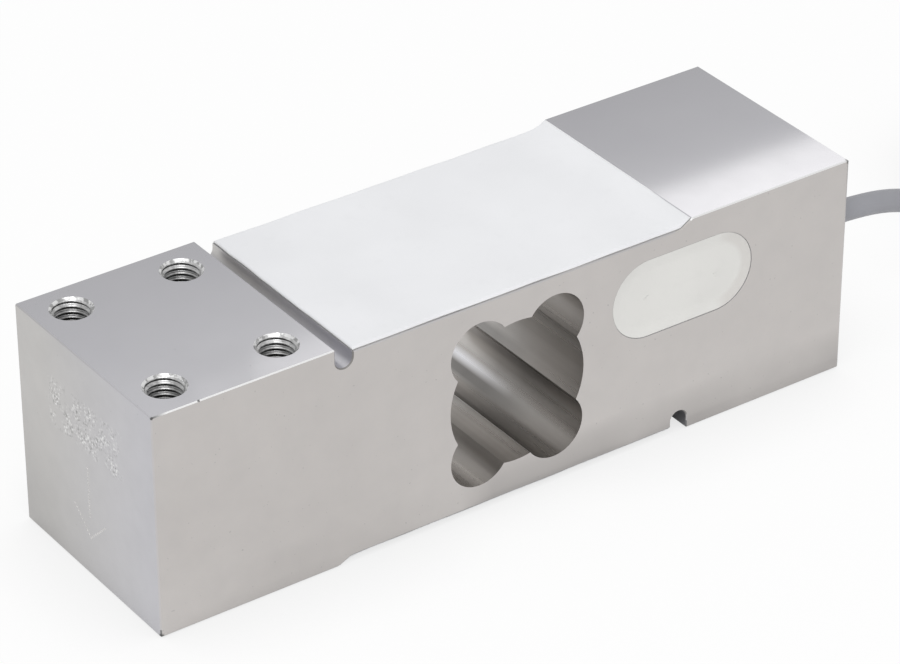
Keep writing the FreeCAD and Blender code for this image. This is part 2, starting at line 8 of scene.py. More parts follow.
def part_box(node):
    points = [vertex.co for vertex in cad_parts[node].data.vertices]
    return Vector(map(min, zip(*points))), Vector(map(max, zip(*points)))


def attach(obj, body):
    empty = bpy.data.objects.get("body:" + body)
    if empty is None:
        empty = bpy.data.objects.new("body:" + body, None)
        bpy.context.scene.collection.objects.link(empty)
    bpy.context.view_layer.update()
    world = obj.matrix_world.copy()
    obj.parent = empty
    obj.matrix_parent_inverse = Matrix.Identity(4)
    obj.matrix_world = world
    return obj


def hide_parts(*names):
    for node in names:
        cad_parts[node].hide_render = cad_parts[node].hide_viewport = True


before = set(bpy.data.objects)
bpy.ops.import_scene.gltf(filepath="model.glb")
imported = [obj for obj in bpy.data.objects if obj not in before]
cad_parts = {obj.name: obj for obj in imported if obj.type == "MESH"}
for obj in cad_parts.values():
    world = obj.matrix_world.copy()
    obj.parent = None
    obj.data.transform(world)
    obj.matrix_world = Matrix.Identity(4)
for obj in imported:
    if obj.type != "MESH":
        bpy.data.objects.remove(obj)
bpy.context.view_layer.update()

MM = 0.001
WELD_DISTANCE = 0.000002

# Camera, fitted to the corners of the beam in the photograph
CAMERA_PLACE = (-0.41062, -0.58492, 0.46955)
CAMERA_TURN = (58.1732, 0.0945, -35.2095)
CAMERA_LENS = 166.679
CAMERA_SENSOR = 36.0

# Strip lights over the beam's near top edge
STRIP_DISTANCE = 0.07
STRIP_HEIGHT = 0.016
STRIP_COLOUR = (1.0, 0.99, 0.955)

# Floor, in metres
FLOOR_REACH = 4.0
FLOOR_LEVEL = -0.0002

# Beam sizes that the added pieces are fitted to, in millimetres
BEAM_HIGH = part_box("body_block")[1]
HALF_LENGTH = BEAM_HIGH[0] / MM
HALF_WIDTH = BEAM_HIGH[1] / MM
HEIGHT = BEAM_HIGH[2] / MM
END_LENGTH = 41.0
GROOVE_WIDTH = 4.0
RAMP_TOP = HALF_LENGTH - END_LENGTH
RAMP_RUN = 2.9
TOP_RECESS = 1.75
BOTTOM_RECESS = 1.45
EDGE_BREAK = 0.25

# Where the beam's finish and its painted light and shade change, in millimetres from its middle or up from
# its underside
OPENING_REACH_X = 17.5
OPENING_REACH_Z = 19.5
PAD_START = 42.0
PAD_EDGE_START = 42.5
TOP_EDGE_FOOT = 49.5
LOW_EDGE_TOP = 1.7
# Where the painted highlight on the pads' top edges fades out at the left end
EDGE_HIGHLIGHT_FADE = (-83.6, -80.6)
INNER_EDGES = (38.7, 43.1)
RAMP_EDGE_FOOT = 25.0
LOW_GROOVE_MIDDLE = 41.0
LOW_GROOVE_REACH = 2.2
LOW_GROOVE_TOP = 6.6
MOUTHS_X = (46.0, 81.0)
MOUTHS_REACH_Y = 22.2
SPECKS_MIDDLE = 34.5
SPECKS_FADE_Y = (12.0, 14.0)
SPECKS_FADE_Z = (4.5, 6.2)

# Parts of a face's normal that tell slanted edges and cones from flat faces
SLANTED = (0.2, 0.9)
CONE = (0.6, 0.8)

# Roughness of the smooth end pads
PAD_ROUGHNESS = 0.15

# Small dark worn spots at corners: place and radius
WORN_CORNERS = (
    ((-83.9, -24.9, 49.9), 0.45),
    ((-83.9, -24.9, 0.2), 0.8),
    ((-73.5, -24.9, 49.95), 0.35),
    ((83.5, -24.7, 49.7), 0.8),
    ((83.4, 24.6, 49.8), 0.4),
)

# Painted shade along the foot of the near face: heights where it starts and is full, factor, and share along
# and down it
FOOT_SHADE_HEIGHTS = (10.5, 1.8)
FOOT_SHADE_DARKEST = 0.69
FOOT_SHADE_ALONG = (
    (0.02, 0.03), (0.167, 0.36), (0.238, 0.18), (0.417, 0.12), (0.464, 1.0), (0.631, 1.0),
    (0.673, 0.55), (0.774, 0.85), (0.845, 0.42), (0.952, 0.42), (1.0, 0.8),
)
FOOT_SHADE_RISE = ((0.0, 0.0), (0.287, 0.35), (0.517, 0.55), (0.747, 0.68), (0.862, 0.78), (0.96, 1.0))

# Painted shade on the front of the left pad towards the groove: share along it, and factor
LEFT_PAD_SHADE_DARKEST = 0.88
LEFT_PAD_SHADE = ((0.10, 0.0), (0.45, 0.8), (0.62, 1.0), (0.85, 0.3), (0.98, 0.0))

# Painted light and shade on the opening's walls, from its near end to its far end
WALL_LIGHT_SCALE = 1.4
WALL_DEPTH_LIGHT = ((0.08, 0.75), (0.24, 0.65), (0.40, 0.571), (0.56, 0.607), (0.72, 0.893), (0.88, 1.0))

# Bands of painted light and painted shade along those walls: place across them, reach, depths at which the
# band starts and is full, and factor. The core is the share of the reach where a band is full.
WALL_LIGHT_AND_SHADE = (
    (12.1, 6.6, 2.4, -12.0, 10.0, 0.42),
    (14.9, 18.4, 2.0, -8.0, 10.0, 0.50),
    (3.4, 9.1, 1.6, -2.0, 5.0, 0.75),
    (-0.5, 8.8, 3.6, 6.0, -1.0, 1.50),
    (-9.2, 6.0, 2.8, 6.0, -3.0, 1.20),
)
WALL_BAND_CORE = 0.3

# A painted highlight line deep in the opening: place across the walls, reach and depths
WALL_HIGHLIGHT = (14.05, 8.0, 1.55, -4.0, 14.0)

# Silicone in the top and bottom recess
COVER_START = -(RAMP_TOP - GROOVE_WIDTH)
COVER_HALF_WIDTH = HALF_WIDTH - EDGE_BREAK
COVER_THICKNESS = 0.65
COVER_WALL = 0.2
COVER_ROUND = 0.8
COVER_LIP = 0.35
COVER_LIFT = 0.015
COVER_SINK = 0.005
COVER_SIDE_INSET = 0.12
COVER_START_INSET = 0.10
COVER_STEP_X = 0.8
COVER_STEP_Y = 0.9
COVER_EDGE_STEPS = (0.0, 0.04, 0.12, 0.25, 0.42, 0.65, 0.95)
MENISCUS_RUN = 6.5
FREE_EDGE = 0.35

# Side pocket and its silicone
POCKET_LENGTH = 35.4
POCKET_HEIGHT = 18.0
POCKET_POINTS = 96
POCKET_DISH = 0.42
POCKET_RIM_DROP = 0.08
POCKET_RIM_WIDTH = 3.2
POCKET_WALL_GAP = 0.05
POCKET_INSETS = (0.16, 0.3, 0.5, 0.8, 1.2, 1.7, 2.3, 3.0, 3.8, 4.8, 5.8, 6.8, 7.8, 8.6)
MENISCUS_SHADE_RADIUS = 6.6

# Tapped holes
HOLE_RADIUS = 4.0
HOLE_MOUTH_RADIUS = 4.45
HOLE_FROM_END = 8.0
HOLE_SPACING_X = 25.0
HOLE_SPACING_Y = 34.0
THREAD_PITCH = 1.25
THREAD_CREST_RADIUS = 3.35
THREAD_DEPTH = 15.5
THREAD_BACK = 0.03
THREAD_START_GAP = 0.01
THREAD_CREST_SHARE = 0.12
THREAD_FLANK_SHARE = 0.76
THREAD_COLUMNS = 40
THREAD_ROWS = 8
# Phases of a turn whose faces take the painted shade material
THREAD_SHADE = (0.58, 1.14)
CONE_MARGIN = 0.04

# Load arrow on the left end
ARROW_TOP = 25.4
ARROW_SHAFT_END = 14.2
ARROW_TIP = 9.1
ARROW_HEAD = 14.4
ARROW_HALF_WIDTH = 5.6
ARROW_SHAFT_DOTS = 15
ARROW_HEAD_DOTS = 9
DOT_SIDES = 10
DOT_PROFILE = ((0.30, -0.01), (0.30, 0.002), (0.22, 0.05), (0.15, 0.035), (0.05, 0.003))

# Cable, with the same points as the solid's route
CABLE_DIAMETER = 5.0
CABLE_ROUTE = (
    (84.0, -14.0, 30.2),
    (93.0, -14.0, 30.2),
    (107.0, -14.6, 28.4),
    (122.0, -16.2, 21.5),
    (138.0, -19.2, 10.8),
    (152.5, -22.6, 3.6),
    (164.0, -24.0, 2.5),
)
COIL_CENTRE = (176.0, 6.0)
COIL_RADII = (30.0, 25.0, 20.0)
COIL_LAYERS = 4
COIL_POINTS = 16
COIL_STEP_POINTS = 3
COIL_START_ANGLE = -90.0
COIL_LAST_ANGLE = 134.0

# Materials of the solids that stay as they are: name, colour, roughness, metallic
PLAIN = {
    "cable_bush": ("rubber_black", (0.025, 0.025, 0.027), 0.6, 0.0),
    "coil_tie": ("nylon", (0.72, 0.72, 0.68), 0.45, 0.0),
    "cable_sleeve": ("shrink_black", (0.012, 0.012, 0.014), 0.38, 0.0),
    "conductor_red": ("wire_red", (0.50, 0.02, 0.015), 0.35, 0.0),
    "conductor_green": ("wire_green", (0.02, 0.22, 0.05), 0.35, 0.0),
    "conductor_white": ("wire_white", (0.80, 0.80, 0.78), 0.35, 0.0),
    "conductor_black": ("wire_black", (0.015, 0.015, 0.015), 0.35, 0.0),
    "tinned_tips": ("tinned", (0.70, 0.69, 0.67), 0.28, 1.0),
    "shield_drain": ("drain_tinned", (0.66, 0.65, 0.63), 0.34, 1.0),
    "bridge_board": ("board_green", (0.02, 0.14, 0.05), 0.35, 0.0),
    "cable_ferrule": ("ferrule", (0.72, 0.72, 0.73), 0.30, 1.0),
    "inner_cores": ("cores", (0.55, 0.55, 0.52), 0.4, 0.0),
    "cable_entry": ("jacket_inner", (0.30, 0.315, 0.335), 0.42, 0.0),
}
GROUPS = {
    "resistor": ("resistor_black", (0.02, 0.02, 0.022), 0.4, 0.0),
    "gauge_carrier": ("film_amber", (0.55, 0.25, 0.04), 0.3, 0.0),
    "terminal_strip": ("film_strip", (0.50, 0.24, 0.05), 0.3, 0.0),
    "gauge_grid": ("foil", (0.60, 0.50, 0.38), 0.25, 1.0),
    "terminal_pads": ("copper_pads", (0.80, 0.42, 0.28), 0.25, 1.0),
    "gauge_leads": ("copper_leads", (0.78, 0.40, 0.26), 0.25, 1.0),
    "link_wires": ("enamel", (0.42, 0.12, 0.04), 0.25, 0.3),
}


# Helpers


def mesh_piece(name, verts, faces, materials, weld=False):
    """A mesh object from points in millimetres, riding on the beam."""
    mesh = bpy.data.meshes.new(name)
    mesh.from_pydata([Vector(v) * MM for v in verts], [], faces)
    work = bmesh.new()
    work.from_mesh(mesh)
    if weld:
        bmesh.ops.remove_doubles(work, verts=work.verts, dist=WELD_DISTANCE)
    bmesh.ops.recalc_face_normals(work, faces=work.faces)
    work.to_mesh(mesh)
    work.free()
    for face in mesh.polygons:
        face.use_smooth = True
    for material in materials:
        mesh.materials.append(material)
    piece = bpy.data.objects.new(name, mesh)
    bpy.context.scene.collection.objects.link(piece)
    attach(piece, "root")
    return piece


def line_share(value, low, high):
    return min(max((value - low) / (high - low), 0.0), 1.0)


def smoothstep(t):
    t = min(max(t, 0.0), 1.0)
    return t * t * (3 - 2 * t)


def quarter_round(distance, width):
    """Rises from 0 at an edge to 1 at width from it, like a quarter of a circle."""
    t = line_share(distance, 0.0, width)
    return math.sqrt(1 - (1 - t) ** 2)


def wobble(x, y, z, size, height):
    return noise.noise(Vector((x, y, z)) / size) * height


def circle(middle, radius, angle):
    return middle[0] + radius * math.cos(angle), middle[1] + radius * math.sin(angle)


def stacked_rings(first, rings, count):
    """Faces of a closed body made of rings of points, counted from its first point."""
    faces = [tuple(first + k for k in range(count))]
    for r in range(rings - 1):
        low, high = first + r * count, first + (r + 1) * count
        for k in range(count):
            m = (k + 1) % count
            faces.append((low + k, low + m, high + m, high + k))
    last = first + (rings - 1) * count
    return faces + [tuple(last + k for k in range(count))]


# Node materials


class Nodes:
    """Fills a node tree, linking nodes by name."""

    def __init__(self, tree):
        self.nodes = tree.nodes
        self.links = tree.links
        self.nodes.clear()

    def feed(self, socket, value):
        """Links an output to a socket or sets its value; a colour may be given as one grey."""
        if isinstance(value, bpy.types.NodeSocket):
            self.links.new(value, socket)
        elif socket.type == "RGBA" and isinstance(value, (int, float)):
            socket.default_value = (value, value, value, 1.0)
        elif socket.type == "RGBA":
            socket.default_value = (*value, 1.0)
        else:
            socket.default_value = value

    def add(self, kind, inputs=None, **settings):
        node = self.nodes.new(kind)
        for key, value in settings.items():
            setattr(node, key, value)
        for key, value in (inputs or {}).items():
            self.feed(node.inputs[key], value)
        return node

    def parts(self, vector):
        return self.add("ShaderNodeSeparateXYZ", {"Vector": vector}).outputs

    def math(self, operation, *values):
        return self.add("ShaderNodeMath", dict(enumerate(values)), operation=operation).outputs[0]

    def product(self, first, *others):
        for value in others:
            first = self.math("MULTIPLY", first, value)
        return first

    def total(self, first, *others):
        for value in others:
            first = self.math("ADD", first, value)
        return first

    def off(self, value, middle):
        """Distance of a value from a middle, to either side."""
        return self.math("ABSOLUTE", self.math("SUBTRACT", value, middle))

    def between(self, value, low=None, high=None):
        """Mask, 1 where the value is over low and under high."""
        limits = (("GREATER_THAN", low), ("LESS_THAN", high))
        return self.product(*(self.math(test, value, limit) for test, limit in limits if limit is not None))

    def span(self, value, low, high, first=0.0, second=1.0):
        """Maps low..high to first..second, clamped."""
        inputs = {"Value": value, "From Min": low, "From Max": high, "To Min": first, "To Max": second}
        return self.add("ShaderNodeMapRange", inputs).outputs[0]


class Shader(Nodes):
    """A material's node tree, with the steps that looks are made of."""

    def __init__(self, name):
        self.material = bpy.data.materials.new(name)
        self.material.use_nodes = True
        super().__init__(self.material.node_tree)
        self.output = self.add("ShaderNodeOutputMaterial")
        self.place = self.add("ShaderNodeTexCoord").outputs["Object"]

    def coordinates(self):
        """The place's x, y and z in millimetres."""
        return [self.math("DIVIDE", c, MM) for c in self.parts(self.place)]

    def distance(self, point):
        """Distance in millimetres from a point given in millimetres."""
        inputs = {0: self.place, 1: tuple(c * MM for c in point)}
        gap = self.add("ShaderNodeVectorMath", inputs, operation="DISTANCE").outputs["Value"]
        return self.math("DIVIDE", gap, MM)

    def stretch(self, scale):
        return self.add("ShaderNodeMapping", {"Vector": self.place, "Scale": scale}).outputs[0]

    def noise(self, scale, detail=2.0, roughness=0.5, vector=None):
        inputs = {"Vector": vector or self.place, "Scale": scale, "Detail": detail, "Roughness": roughness}
        return self.add("ShaderNodeTexNoise", inputs).outputs["Fac"]

    def ramp(self, value, *stops):
        """Maps a value through (position, grey) stops."""
        node = self.add("ShaderNodeValToRGB", {"Fac": value})
        elements = node.color_ramp.elements
        while len(elements) < len(stops):
            elements.new(0.5)
        for element, (position, grey) in zip(elements, stops):
            element.position = position
            element.color = (grey, grey, grey, 1.0)
        return node.outputs["Color"]

    def mix(self, factor, first, second, blend="MIX"):
        inputs = {0: factor, 6: first, 7: second}
        return self.add("ShaderNodeMix", data_type="RGBA", blend_type=blend, inputs=inputs).outputs[2]

    def grained(self, grain, first, second, low=0.3, high=0.7):
        """Two colours, mixed by a noise."""
        return self.mix(self.span(grain, low, high), first, second)

    def shade(self, colour, factor):
        return self.mix(1.0, colour, factor, "MULTIPLY")

    def dim(self, colour, mask, factor):
        """Multiplies a colour by factor where the mask is 1."""
        return self.shade(colour, self.span(mask, 0.0, 1.0, 1.0, factor))

    def bump(self, height, distance, **inputs):
        inputs = {"Height": height, "Distance": distance, "Strength": 1.0, **inputs}
        return self.add("ShaderNodeBump", inputs).outputs[0]

    def surface(self, **inputs):
        """Ends in a plain surface with these inputs, and returns the material."""
        inputs = {key.replace("_", " "): value for key, value in inputs.items()}
        return self.show(self.add("ShaderNodeBsdfPrincipled", inputs).outputs[0])

    def show(self, surface):
        self.links.new(surface, self.output.inputs["Surface"])
        return self.material


def simple(name, colour, roughness, metallic=0.0, grain=2500.0, spread=0.12):
    """A material with one main colour, broken up by grain in colour, gloss and relief."""
    s = Shader(name)
    fine = s.noise(grain, 3.0)
    wide = s.noise(grain / 18, 2.0)
    dark = tuple(c * (1 - spread) for c in colour)
    light = tuple(min(c * (1 + spread), 1.0) for c in colour)
    gloss = s.span(fine, 0.3, 0.7, roughness * 0.85, min(roughness * 1.15, 1.0))
    return s.surface(
        Base_Color=s.grained(wide, dark, light), Roughness=gloss, Metallic=metallic,
        Normal=s.bump(fine, 0.00002),
    )


# Beam metal


class BeamShader(Shader):
    """The beam's node tree, with the places, masks and grains that its steps share."""

    def __init__(self, name):
        super().__init__(name)
        self.x, self.y, self.z = self.coordinates()
        true_normal = self.add("ShaderNodeNewGeometry").outputs["True Normal"]
        self.nx, self.ny, self.nz = (self.math("ABSOLUTE", n) for n in self.parts(true_normal))
        self.away_x = self.math("ABSOLUTE", self.x)
        self.away_y = self.math("ABSOLUTE", self.y)
        self.wide = self.noise(28.0, 3.0)
        self.fine = self.noise(5200.0, 3.0, 0.6)
        self.cloudy = self.noise(160.0, 4.0, 0.6)
        self.streaks = self.noise(520.0, 3.0, 0.5, self.stretch((1.0, 0.012, 1.0)))
        self.in_opening = self.product(
            self.between(self.away_x, high=OPENING_REACH_X),
            self.between(self.off(self.z, HEIGHT / 2), high=OPENING_REACH_Z),
            self.between(self.ny, high=0.5),
        )
        self.pad = self.product(self.between(self.nz, low=0.95), self.between(self.away_x, low=PAD_START))
        self.slanted = self.between(self.ny, *SLANTED)
        self.inner_edge = self.product(self.slanted, self.between(self.away_x, *INNER_EDGES))


def long_faces(s):
    """Colour of the long faces, with painted light brighter towards the left end and painted shade at the
    foot.
    """
    tone = s.grained(s.wide, (0.596, 0.569, 0.552), (0.622, 0.595, 0.577))
    # Painted light: a little brighter towards the left end
    tone = s.shade(tone, s.span(s.x, -HALF_LENGTH, HALF_LENGTH, 1.02, 0.985))
    # Painted shade along the foot
    along = s.ramp(s.span(s.x, -HALF_LENGTH, HALF_LENGTH), *FOOT_SHADE_ALONG)
    rise = s.ramp(s.span(s.z, *FOOT_SHADE_HEIGHTS), *FOOT_SHADE_RISE)
    return s.dim(tone, s.product(rise, along), FOOT_SHADE_DARKEST)


def flat_faces(s, cool):
    """Colour of the top and the underside, with painted light brighter at the near side and painted shade
    towards the far side, towards the right end and by the near groove.
    """
    # Painted light and shade: brighter at the near side, darker towards the far side and the right end
    tone = s.shade(cool, s.span(s.y, -HALF_WIDTH, HALF_WIDTH, 1.12, 0.885))
    tone = s.shade(tone, s.span(s.x, -80.0, 80.0, 1.03, 0.955))
    # Painted shade on the front of the left pad, towards the groove
    pad_front_shade = s.ramp(s.span(s.x, -84.0, -42.0), *LEFT_PAD_SHADE)
    return s.dim(tone, s.product(pad_front_shade, s.span(s.y, -10.0, -24.0)), LEFT_PAD_SHADE_DARKEST)


def end_faces(s, cool):
    """Colour of the end faces, warmer towards the far side, with painted shade darkest at its foot."""
    warm = s.grained(s.wide, (0.570, 0.558, 0.545), (0.598, 0.586, 0.572))
    tone = s.mix(s.span(s.y, -22.0, 16.0), cool, warm)
    # Painted shade at the foot of the far side
    far_foot_shade = s.product(s.span(s.y, -12.0, 22.0), s.span(s.z, 30.0, 2.0))
    return s.dim(tone, far_foot_shade, 0.82)


def specked_patch(s, colour):
    """Random light and dark specks in a patch on the left end."""
    patch = s.product(
        s.between(s.nx, low=0.9),
        s.between(s.x, high=-80.0),
        s.span(s.away_y, *SPECKS_FADE_Y, 1.0, 0.0),
        s.span(s.off(s.z, SPECKS_MIDDLE), *SPECKS_FADE_Z, 1.0, 0.0),
        s.span(s.noise(260.0, 2.0), 0.38, 0.58),
    )
    specks = s.noise(1900.0, 1.0)
    colour = s.mix(s.product(patch, s.span(specks, 0.56, 0.68)), colour, (0.84, 0.84, 0.83))
    return s.mix(s.product(patch, s.span(specks, 0.42, 0.30)), colour, (0.33, 0.33, 0.32))


def broken_edges(s, colour):
    """Painted shade on the edges of the grooves, inside the underside groove and along the foot, a painted
    highlight on the pads' top edges, and the mouths of the tapped holes, paler with painted highlight.
    """
    # Painted shade along the edges by the grooves, lighter on those by the top of the right ramp
    by_ramp = s.product(s.between(s.x, low=0.0), s.between(s.z, low=RAMP_EDGE_FOOT))
    colour = s.mix(s.inner_edge, colour, s.mix(by_ramp, (0.36, 0.35, 0.34), (0.66, 0.64, 0.62)))
    # Painted shade inside the groove on the underside
    low_groove_shade = s.product(
        s.between(s.z, high=LOW_GROOVE_TOP),
        s.between(s.ny, high=0.5),
        s.between(s.off(s.x, LOW_GROOVE_MIDDLE), high=LOW_GROOVE_REACH),
    )
    colour = s.dim(colour, low_groove_shade, 0.5)
    top_edge = s.product(
        s.slanted,
        s.between(s.away_x, low=PAD_EDGE_START),
        s.between(s.z, low=TOP_EDGE_FOOT),
    )
    # The pads' top edges: dark, then a painted highlight along them that fades out over the last millimetres
    # at the left end
    colour = s.mix(top_edge, colour, 0.20)
    colour = s.mix(s.product(top_edge, s.span(s.x, *EDGE_HIGHLIGHT_FADE)), colour, 0.95)
    # Painted shade along the edges at the foot
    colour = s.mix(s.product(s.slanted, s.between(s.z, high=LOW_EDGE_TOP)), colour, 0.23)
    # The mouths of the tapped holes: paler streaked metal, partly painted highlight
    mouth = s.product(
        s.between(s.nz, *CONE),
        s.between(s.away_y, high=MOUTHS_REACH_Y),
        s.between(s.away_x, *MOUTHS_X),
    )
    return s.mix(mouth, colour, s.ramp(s.noise(900.0, 2.0), (0.42, 0.40), (0.54, 0.86)))


def worn_corners(s, colour):
    """Small dark spots with a ragged outline."""
    for corner, radius in WORN_CORNERS:
        ragged = s.total(s.distance(corner), s.product(s.math("SUBTRACT", s.fine, 0.5), radius))
        colour = s.mix(s.span(ragged, radius * 0.5, radius, 0.85, 0.0), colour, 0.10)
    return colour


def along_opening(s, across, up, core, reach, start, full):
    """Mask of a line through the opening: 1 in its core, 0 beyond its reach and before its start."""
    off_x = s.math("SUBTRACT", s.x, across)
    off_z = s.math("SUBTRACT", s.z, up)
    off = s.math("SQRT", s.total(s.math("POWER", off_x, 2.0), s.math("POWER", off_z, 2.0)))
    return s.product(s.span(off, core, reach, 1.0, 0.0), s.span(s.y, start, full))


def opening_walls(s):
    """Colour of the opening's milled walls, streaked and banded along its axis, with painted light and shade
    along its depth and in bands, and a painted highlight line.
    """
    bands = s.noise(150.0, 2.0, 0.5, s.stretch((1.0, 0.03, 1.0)))
    tone = s.grained(bands, (0.37, 0.353, 0.337), (0.55, 0.533, 0.516))
    tone = s.mix(s.span(s.streaks, 0.4, 0.8, 0.0, 0.35), tone, (0.68, 0.66, 0.64))
    # Painted light and shade from the near end to the far end
    deep = s.ramp(s.span(s.y, -HALF_WIDTH, HALF_WIDTH), *WALL_DEPTH_LIGHT)
    tone = s.shade(tone, s.shade(deep, WALL_LIGHT_SCALE))
    # Bands of painted light and painted shade
    for across, up, reach, start, full, factor in WALL_LIGHT_AND_SHADE:
        band = along_opening(s, across, up, reach * WALL_BAND_CORE, reach, start, full)
        tone = s.dim(tone, band, factor)
    # A painted highlight line deep in the opening
    across, up, reach, start, full = WALL_HIGHLIGHT
    line = along_opening(s, across, up, 0.0, reach, start, full)
    return s.mix(s.product(line, 0.95), tone, (0.94, 0.94, 0.98))


def beam_gloss(s):
    """Roughness: satin sides, smooth pads, milled opening, and rougher edges by the grooves."""
    satin = s.span(s.cloudy, 0.3, 0.7, 0.38, 0.46)
    polished = s.span(s.cloudy, 0.3, 0.7, PAD_ROUGHNESS * 0.92, PAD_ROUGHNESS * 1.08)
    milled = s.span(s.streaks, 0.3, 0.7, 0.24, 0.36)
    elsewhere = s.math("SUBTRACT", 1.0, s.math("MAXIMUM", s.in_opening, s.pad))
    return s.total(
        s.product(satin, elsewhere),
        s.product(polished, s.pad),
        s.product(milled, s.in_opening),
        s.product(s.inner_edge, 0.35),
    )


def beam_relief(s):
    """Fine grain, weaker on the pads, and streaks in the opening."""
    grain = s.product(s.fine, s.span(s.pad, 0.0, 1.0, 1.0, 0.12), s.math("SUBTRACT", 1.0, s.in_opening))
    return s.bump(s.total(grain, s.product(s.streaks, 2.0, s.in_opening)), 0.000012)


def beam_metal():
    """Anodised aluminium, satin on its sides, smoother on its end pads and milled in the opening."""
    s = BeamShader("beam_metal")
    cool = s.grained(s.wide, (0.570, 0.566, 0.596), (0.600, 0.596, 0.622))
    outside = s.mix(s.span(s.nz, 0.4, 0.9), end_faces(s, cool), flat_faces(s, cool))
    outside = s.mix(s.span(s.ny, 0.4, 0.9), outside, long_faces(s))
    outside = s.mix(s.span(s.cloudy, 0.35, 0.65, 0.0, 0.06), outside, (0.48, 0.48, 0.49))
    pits = s.span(s.noise(1500.0, 1.0), 0.765, 0.80)
    outside = s.mix(s.product(pits, 0.35), outside, 0.28)
    for step in (specked_patch, broken_edges, worn_corners):
        outside = step(s, outside)
    colour = s.mix(s.in_opening, outside, opening_walls(s))
    return s.surface(Base_Color=colour, Metallic=1.0, Roughness=beam_gloss(s), Normal=beam_relief(s))


# Other looks


def silicone(name, tint, shaded_end=None):
    """White silicone; the last argument gives the place and radius of an arc outside which lies a darker band
    of painted meniscus shade.
    """
    s = Shader(name)
    wide = s.noise(45.0, 2.0)
    cloudy = s.noise(300.0, 3.0)
    fine = s.noise(2600.0, 2.0)
    tone = s.grained(wide, tint, tuple(min(c * 1.04, 1.0) for c in tint), 0.35, 0.65)
    tone = s.mix(s.span(cloudy, 0.6, 0.75, 0.0, 0.10), tone, tuple(c * 0.85 for c in tint))
    # Painted shade of the meniscus along the pocket's right end
    if shaded_end:
        place, radius = shaded_end
        beyond = s.span(s.coordinates()[0], place[0], place[0] + 3.0)
        meniscus_shade = s.product(s.span(s.distance(place), radius - 0.5, radius + 0.5), beyond)
        tone = s.mix(s.product(meniscus_shade, 0.8), tone, (0.66, 0.64, 0.615))
    swell = s.bump(wide, 0.0006)
    return s.surface(
        Base_Color=tone,
        Roughness=0.42,
        Normal=s.bump(s.total(cloudy, s.product(fine, 0.15)), 0.00003, Normal=swell),
        Subsurface_Weight=0.15,
        Subsurface_Radius=(0.8, 0.8, 0.8),
        Subsurface_Scale=0.0008,
    )


def thread_metal(name, dark, pale, roughness):
    """Turned metal with streaks across the hole's wall, with painted shade further down."""
    s = Shader(name)
    from_middle = s.off(s.coordinates()[2], HEIGHT / 2)
    streaks = s.noise(1000.0, 3.0, 0.6, s.stretch((1.0, 1.0, 0.06)))
    fine = s.noise(4000.0, 2.0)
    tone = s.ramp(streaks, (0.32, dark), (0.68, pale))
    return s.surface(
        # Painted shade deeper in the hole
        Base_Color=s.shade(tone, s.span(from_middle, 20.0, 24.5, 0.40, 1.0)),
        Metallic=1.0,
        Roughness=s.span(streaks, 0.3, 0.7, roughness, roughness * 1.3),
        Normal=s.bump(fine, 0.00001),
    )


def floor_white():
    """Plain paper that camera, mirror and glass rays see as a white glow, darker close to the object."""
    s = Shader("floor_white")
    paper = s.grained(s.noise(900.0, 3.0), (0.86, 0.86, 0.86), (0.89, 0.89, 0.89))
    surface = s.add("ShaderNodeBsdfDiffuse", {"Color": paper}).outputs[0]
    near = s.add("ShaderNodeAmbientOcclusion", {"Distance": 0.03}, samples=8).outputs["AO"]
    close = s.add("ShaderNodeAmbientOcclusion", {"Distance": 0.012}, samples=8).outputs["AO"]
    path = s.add("ShaderNodeLightPath").outputs
    to_camera = s.span(near, 0.0, 0.9, 0.80, 1.0)
    to_metal = s.span(close, 0.02, 0.62, 0.06, 0.94)
    level = s.mix(path["Is Camera Ray"], to_metal, to_camera)
    glow = s.add("ShaderNodeEmission", {"Color": level, "Strength": 1.0}).outputs[0]
    seen = s.math("MAXIMUM", path["Is Camera Ray"], path["Is Glossy Ray"])
    seen = s.math("MAXIMUM", seen, path["Is Transmission Ray"])
    return s.show(s.add("ShaderNodeMixShader", {0: s.product(seen, 0.92), 1: surface, 2: glow}).outputs[0])


# Camera


def add_camera():
    data = bpy.data.cameras.new("camera")
    data.lens = CAMERA_LENS
    data.sensor_width = CAMERA_SENSOR
    data.clip_start = 0.01
    camera = bpy.data.objects.new("camera", data)
    camera.location = CAMERA_PLACE
    camera.rotation_euler = Euler([math.radians(a) for a in CAMERA_TURN])
    bpy.context.scene.collection.objects.link(camera)
    bpy.context.scene.camera = camera


# Cable


def coil_points():
    """The turns, wound layer on layer, each step to the next turn taken at the same place."""
    places = []
    for layer in range(COIL_LAYERS):
        radii = COIL_RADII if layer % 2 == 0 else COIL_RADII[::-1]
        places += [(radius, (layer + 0.5) * CABLE_DIAMETER) for radius in radii]
    reach = 1 / math.cos(math.pi / COIL_POINTS)
    points = []
    for k, (radius, height) in enumerate(places):
        before = places[max(k - 1, 0)]
        for i in range(COIL_POINTS):
            angle = COIL_START_ANGLE + i * 360.0 / COIL_POINTS
            if k + 1 == len(places) and angle > COIL_LAST_ANGLE:
                break
            share = smoothstep(i / COIL_STEP_POINTS)
            r = (before[0] + (radius - before[0]) * share) * reach
            z = before[1] + (height - before[1]) * share
            points.append((*circle(COIL_CENTRE, r, math.radians(angle)), z))
    radius, height = places[-1]
    return points + [(*circle(COIL_CENTRE, radius, math.radians(COIL_LAST_ANGLE)), height)]


